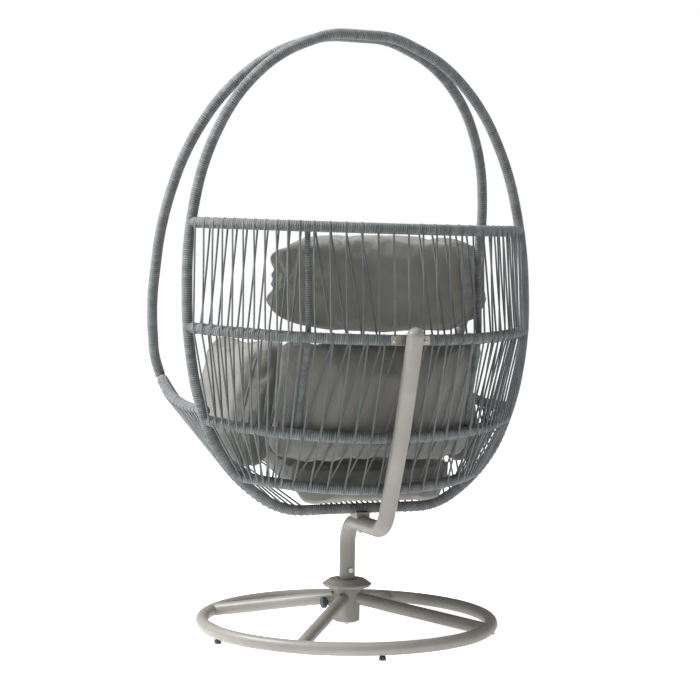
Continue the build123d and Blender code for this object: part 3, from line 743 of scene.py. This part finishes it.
# ---- strung cord of the sides and the seat ----
def tucked(point, normal, ahead, reach, way):
    """End of a strung cord: it follows the tube round and sinks between the turns."""
    across = unit(ahead - way * (ahead @ way))
    points = []
    for step in np.linspace(0, 1, 8)[1:]:
        angle = math.radians(TUCK_ANGLE) * step
        radius = reach - TUCK_DEPTH * step
        points.append(point + radius * (math.cos(angle) * normal - math.sin(angle) * across))
    return points


def basket_strand(made, rim_share, hoop_share, outside, mirror_it, k):
    """A cord from the seat rim to the back hoop, outside (1) or inside (-1) the basket at its ends."""
    reach = HOOP_OUTER + CORD / 2 - PRESSED_IN
    rim, rim_way = at_share(RIM_HALF, rim_share)
    hoop, hoop_way = at_share(BACK_HOOP, hoop_share)
    ahead = hoop - rim
    away = (rim + hoop) / 2 - BASKET_MIDDLE
    normals = []
    for way in (rim_way, hoop_way):
        normal = unit(np.cross(ahead, way))
        if normal @ away < 0:
            normal = -normal
        normals.append(normal * outside)
    start, end = rim + normals[0] * reach, hoop + normals[1] * reach
    line = tucked(rim, normals[0], ahead, reach, rim_way)[::-1]
    line += slack_run(start, end, k + 2000, normals[0])
    line += tucked(hoop, normals[1], -ahead, reach, hoop_way)
    line = np.array(line)
    made.cord(mirrored(line) if mirror_it else line, CORD / 2)


def side_fan(mirror_it):
    made = Strands()
    for k in range(SIDE_CORDS):
        share = k / (SIDE_CORDS - 1)
        basket_strand(
            made, RIM_SPAN[0] + (RIM_SPAN[1] - RIM_SPAN[0]) * share,
            HOOP_SPAN[0] + (HOOP_SPAN[1] - HOOP_SPAN[0]) * share, 1, mirror_it, k)
    return made


for side, mirror_it in (("left", False), ("right", True)):
    piece = side_fan(mirror_it).piece(f"side_strands_{side}", MATERIALS["cord"], "cord")
    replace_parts(piece, f"side_fan_{side}")

webbing = Strands()
for mirror_it in (False, True):
    for k in range(SEAT_CORDS // 2):
        share = (k + 0.5) / (SEAT_CORDS // 2)
        basket_strand(webbing, 1 - (1 - RIM_SPAN[1]) * share * SEAT_SPREAD,
                      1 - (1 - HOOP_SPAN[1]) * share * SEAT_SPREAD, -1, mirror_it, k + 60)
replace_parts(webbing.piece("seat_strands", MATERIALS["cord"], "cord"), "seat_webbing")


# ---- cushions ----
def coordinates(mesh):
    co = np.empty(len(mesh.vertices) * 3)
    mesh.vertices.foreach_get("co", co)
    return co.reshape(-1, 3)


def set_coordinates(mesh, co):
    mesh.vertices.foreach_set("co", np.asarray(co, np.float32).ravel())
    mesh.update()


def normals_of(mesh):
    n = np.empty(len(mesh.vertices) * 3)
    mesh.vertices.foreach_get("normal", n)
    return n.reshape(-1, 3)


def with_modifier(obj, kind, **values):
    """Adds a modifier and makes its result the object's own mesh."""
    modifier = obj.modifiers.new("step", kind)
    for key, value in values.items():
        setattr(modifier, key, value)
    graph = bpy.context.evaluated_depsgraph_get()
    mesh = bpy.data.meshes.new_from_object(obj.evaluated_get(graph))
    obj.modifiers.clear()
    obj.data = mesh


def inflate(obj, cap):
    """Blows the cover up with the cloth simulation; no point moves further than cap."""
    rest = coordinates(obj.data)
    modifier = obj.modifiers.new("cloth", "CLOTH")
    modifier.settings.use_pressure = True
    modifier.settings.uniform_pressure_force = COVER_PRESSURE
    modifier.settings.effector_weights.gravity = 0
    modifier.settings.quality = 4
    modifier.collision_settings.use_collision = False
    for step in range(1, CLOTH_STEPS + 1):
        bpy.context.scene.frame_set(step)
    graph = bpy.context.evaluated_depsgraph_get()
    moved = coordinates(obj.evaluated_get(graph).data) - rest
    size = np.linalg.norm(moved, axis=1)
    moved *= np.minimum(1, cap / np.maximum(size, 1e-9))[:, None]
    obj.modifiers.clear()
    bpy.context.scene.frame_set(1)
    set_coordinates(obj.data, rest + moved)


def crease_field(co, seed, size, stretch):
    """Smooth folds, longer along stretch than across it."""
    along = Vector(stretch).normalized()
    values = np.empty(len(co))
    for i, p in enumerate(co):
        v = Vector(p)
        v = v - along * (v.dot(along) * FOLD_LENGTHENING)
        n = noise.noise(v / size + Vector((seed, 0, 0)))
        m = noise.noise(v / (size * FINE_FOLDS) + Vector((0, seed, 0)))
        values[i] = 1 - 2 * abs(n) + FINE_FOLD_SHARE * m
    return values


def cushion(name, node, folds, stretch, seed, cap, fold_size=0.07):
    """A cushion's cover: the node's shape, blown up and creased. folds is the creases' depth."""
    obj = bpy.data.objects.new(name, NODES[node].data.copy())
    bpy.context.scene.collection.objects.link(obj)
    with_modifier(obj, "REMESH", mode="VOXEL", voxel_size=COVER_VOXEL)
    co = coordinates(obj.data)
    set_coordinates(obj.data, co - normals_of(obj.data) * COVER_SHRINK)
    inflate(obj, cap)
    with_modifier(obj, "SMOOTH", iterations=3, factor=0.5)
    co = coordinates(obj.data)
    set_coordinates(obj.data, co + normals_of(obj.data) * (
        crease_field(co, seed, fold_size, stretch)[:, None] * folds))
    return obj


def finish_cushion(obj, node):
    with_modifier(obj, "SUBSURF", levels=1, render_levels=1)
    obj.data.materials.clear()
    obj.data.materials.append(MATERIALS["cushion_cloth"])
    obj.data.polygons.foreach_set("use_smooth", [True] * len(obj.data.polygons))
    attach(obj, CHAIR)
    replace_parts(obj, node)


def contour(obj, point, normal):
    """Longest loop where a plane cuts the mesh, as points."""
    bm = bmesh.new()
    bm.from_mesh(obj.data)
    cut = bmesh.ops.bisect_plane(bm, geom=bm.verts[:] + bm.edges[:] + bm.faces[:],
                                 plane_co=point, plane_no=normal)["geom_cut"]
    edges = [e for e in cut if isinstance(e, bmesh.types.BMEdge)]
    links = {}
    for e in edges:
        a, b = e.verts
        links.setdefault(a, []).append(b)
        links.setdefault(b, []).append(a)
    best, seen = [], set()
    for start in links:
        if start in seen:
            continue
        loop, here = [start], start
        seen.add(start)
        while True:
            ahead = [v for v in links[here] if v not in seen]
            if not ahead:
                break
            here = ahead[0]
            seen.add(here)
            loop.append(here)
        if len(loop) > len(best):
            best = loop
    points = np.array([tuple(v.co) for v in best])
    bm.free()
    return points


def pinch(obj, point, normal, depth, width):
    """Draws the cover in along a seam's plane."""
    co = coordinates(obj.data)
    far = (co - np.array(point)) @ np.array(normal)
    pull = depth * np.exp(-(far / width) ** 2)
    set_coordinates(obj.data, co - normals_of(obj.data) * pull[:, None])


def piping(obj, name, point, normal):
    """Cord sewn into a seam: a closed tube along the cover where a plane meets it."""
    loop = contour(obj, point, normal)
    closed = np.concatenate([loop, loop[:1]])
    count = max(60, int(lengths(closed)[-1] / PIPING_STEP))
    line = resampled(closed, count + 1)[:-1]
    for _ in range(PIPING_SMOOTHING):
        line = (np.roll(line, 1, 0) + 2 * line + np.roll(line, -1, 0)) / 4
    middle = line.mean(0)
    ahead = directions(line, closed=True)
    flat = unit(np.array(normal))
    side = np.array([unit(np.cross(t, flat)) for t in ahead])
    outward = np.array([s if s @ (p - middle) > 0 else -s for s, p in zip(side, line)])
    line = line - outward * PIPING_SINK
    sides = PIPING_SIDES
    rings = np.stack([
        line + PIPING_RADIUS * (math.cos(a) * side + math.sin(a) * np.cross(ahead, side))
        for a in (2 * math.pi * j / sides for j in range(sides))], 1)
    verts = rings.reshape(-1, 3) / MM
    n = len(line)
    faces = [(i * sides + j, i * sides + (j + 1) % sides, (i + 1) % n * sides + (j + 1) % sides,
              (i + 1) % n * sides + j) for i in range(n) for j in range(sides)]
    add_piece(name, verts, faces, None, MATERIALS["cushion_cloth"])


def round_ends(obj, middle, half_length, start, height_drop, depth_drop):
    """Draws a pillow's ends in to a gathered, rounded shape."""
    co = coordinates(obj.data)
    off = co - np.array(middle)
    share = np.clip((np.abs(off[:, 0]) / half_length - start) / (1 - start), 0, 1)
    off[:, 2] *= 1 - height_drop * share ** 2
    off[:, 1] *= 1 - depth_drop * share ** 2
    gather = np.sin(np.arctan2(off[:, 2], off[:, 1]) * GATHERS + off[:, 0] * GATHER_TWIST)
    co = np.array(middle) + off + normals_of(obj.data) * (gather * share * GATHER_DEPTH)[:, None]
    set_coordinates(obj.data, co)


def arm_bolster(side, sign):
    """A bolster with a gusset between two piped seams."""
    turn = Matrix.Rotation(math.radians(BOLSTER_TURN * sign), 3, "Z")
    turn = turn @ Matrix.Rotation(math.radians(BOLSTER_LEAN * sign), 3, "Y")
    width_way = turn @ Vector((1, 0, 0))
    pad = cushion(f"bolster_{side}", f"arm_bolster_{side}", 0.0045, (0, 1, 0.2), 1.7 + sign, cap=0.014)
    across = coordinates(pad.data) @ np.array(width_way)
    seams = [width_way * (across.min() + (across.max() - across.min()) * share) for share in SEAM_SHARES]
    for seam in seams:
        pinch(pad, seam, width_way, SEAM_DEPTH, SEAM_WIDTH)
    finish_cushion(pad, f"arm_bolster_{side}")
    for seam, label in zip(seams, ("low", "high")):
        piping(pad, f"bolster_piping_{side}_{label}", seam, width_way)


seat = cushion("seat_pad", "seat_cushion", 0.0040, (1, 0, 0.3), 3.1, cap=0.010, fold_size=0.08)
finish_cushion(seat, "seat_cushion")

back = cushion("back_pad", "back_cushion", 0.0060, (0.3, 0, 1), 8.7, cap=0.016)
finish_cushion(back, "back_cushion")

head = cushion("head_pillow", "head_cushion", 0.0042, (1, 0, 0.35), 5.3, cap=0.018, fold_size=0.06)
round_ends(head, HEAD_MIDDLE, HEAD_HALF_LENGTH, start=0.50, height_drop=0.34, depth_drop=0.30)
finish_cushion(head, "head_cushion")

arm_bolster("left", 1)
arm_bolster("right", -1)


# ---- floor, light and camera ----
def soft_light(name, place, aim, size, power):
    light = bpy.data.lights.new(name, "AREA")
    light.shape = "DISK"
    light.size = size
    light.energy = power
    lamp = bpy.data.objects.new(name, light)
    bpy.context.scene.collection.objects.link(lamp)
    lamp.location = place
    lamp.rotation_euler = (Vector(aim) - Vector(place)).to_track_quat("-Z", "Y").to_euler()


def studio():
    bpy.ops.mesh.primitive_plane_add(size=FLOOR_SIZE)
    floor = bpy.context.object
    floor.name = "floor"
    floor.location.z = -FLOOR_DROP
    s = Shade("studio_floor", 0.9)
    s.colour(s.ramp(s.noise(0.8, 2.0), [(0.0, (0.90, 0.90, 0.90)), (1.0, (0.92, 0.92, 0.92))]))
    s.shader.inputs["Emission Color"].default_value = (1, 1, 1, 1)
    s.shader.inputs["Emission Strength"].default_value = FLOOR_GLOW
    floor.data.materials.append(s.material)

    world = bpy.data.worlds.new("studio")
    bpy.context.scene.world = world
    world.use_nodes = True
    tree = world.node_tree
    ambient = tree.nodes["Background"]
    ambient.inputs["Color"].default_value = (1, 1, 1, 1)
    ambient.inputs["Strength"].default_value = AMBIENT
    backdrop = tree.nodes.new("ShaderNodeBackground")
    backdrop.inputs["Color"].default_value = (1, 1, 1, 1)
    backdrop.inputs["Strength"].default_value = BACKDROP
    seen = tree.nodes.new("ShaderNodeLightPath")
    mix = tree.nodes.new("ShaderNodeMixShader")
    tree.links.new(seen.outputs["Is Camera Ray"], mix.inputs[0])
    tree.links.new(ambient.outputs[0], mix.inputs[1])
    tree.links.new(backdrop.outputs[0], mix.inputs[2])
    tree.links.new(mix.outputs[0], tree.nodes["World Output"].inputs["Surface"])

    for name, (place, aim, size, power) in LIGHTS.items():
        soft_light(name, place, aim, size, power)


def camera():
    azimuth, pitch, roll = (math.radians(a) for a in (CAMERA_AZIMUTH, CAMERA_PITCH, CAMERA_ROLL))
    back = Vector((math.sin(azimuth), -math.cos(azimuth), 0))
    right = Vector((math.cos(azimuth), math.sin(azimuth), 0))
    ahead = -back * math.cos(pitch) - Vector((0, 0, 1)) * math.sin(pitch)
    up = right.cross(ahead)
    x = right * math.cos(roll) + up * math.sin(roll)
    y = up * math.cos(roll) - right * math.sin(roll)
    data = bpy.data.cameras.new("camera")
    data.lens = CAMERA_LENS
    data.sensor_width = 36
    data.clip_end = 100
    obj = bpy.data.objects.new("camera", data)
    bpy.context.scene.collection.objects.link(obj)
    turn = Matrix((x, y, -ahead)).transposed().to_4x4()
    obj.matrix_world = Matrix.Translation(back * CAMERA_DISTANCE + Vector((0, 0, CAMERA_HEIGHT))) @ turn
    bpy.context.scene.camera = obj


studio()
camera()
bpy.context.scene.view_settings.view_transform = "Standard"
